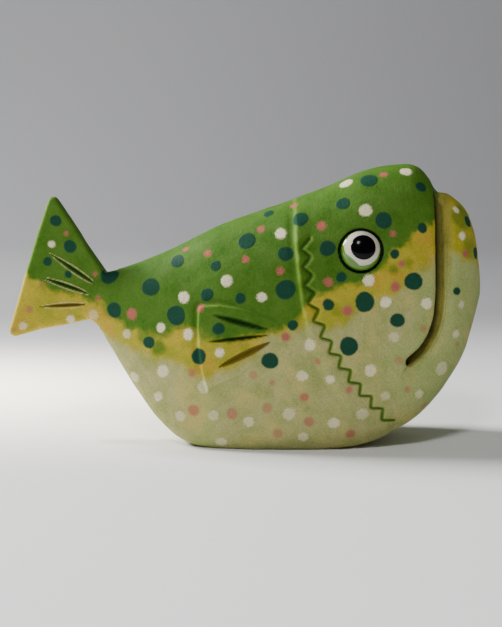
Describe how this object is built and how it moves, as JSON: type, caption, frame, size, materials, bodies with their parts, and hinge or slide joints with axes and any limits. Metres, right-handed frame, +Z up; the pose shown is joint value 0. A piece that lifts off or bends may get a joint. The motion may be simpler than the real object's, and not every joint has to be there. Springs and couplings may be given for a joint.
{
  "type": "painted wooden fish figure",
  "caption": "Free-standing hollow wooden fish figure with a painted spotted body, carved mouth slot, zigzag gill line and domed eyes.",
  "frame": {"origin": "under the middle of the fish's length, on its centre plane, at the flat base", "axes": "+X towards the nose, +Y to the fish's left, +Z up"},
  "size_m": [0.1503, 0.0444, 0.0881],
  "materials": {
    "painted_wood": "matte hand-brushed acrylic paint",
    "bare_wood": "unfinished, hidden inside",
    "eye_enamel": "turned wood in gloss enamel",
    "pupil_enamel": "raised drop of gloss enamel"
  },
  "bodies": {
    "root": {"core_board": "painted_wood", "right_side_board": "painted_wood", "left_side_board": "painted_wood", "assembly_dowels": "bare_wood", "right_eye_button": "eye_enamel", "left_eye_button": "eye_enamel", "right_pupil": "pupil_enamel", "left_pupil": "pupil_enamel"}
  },
  "joints": []
}
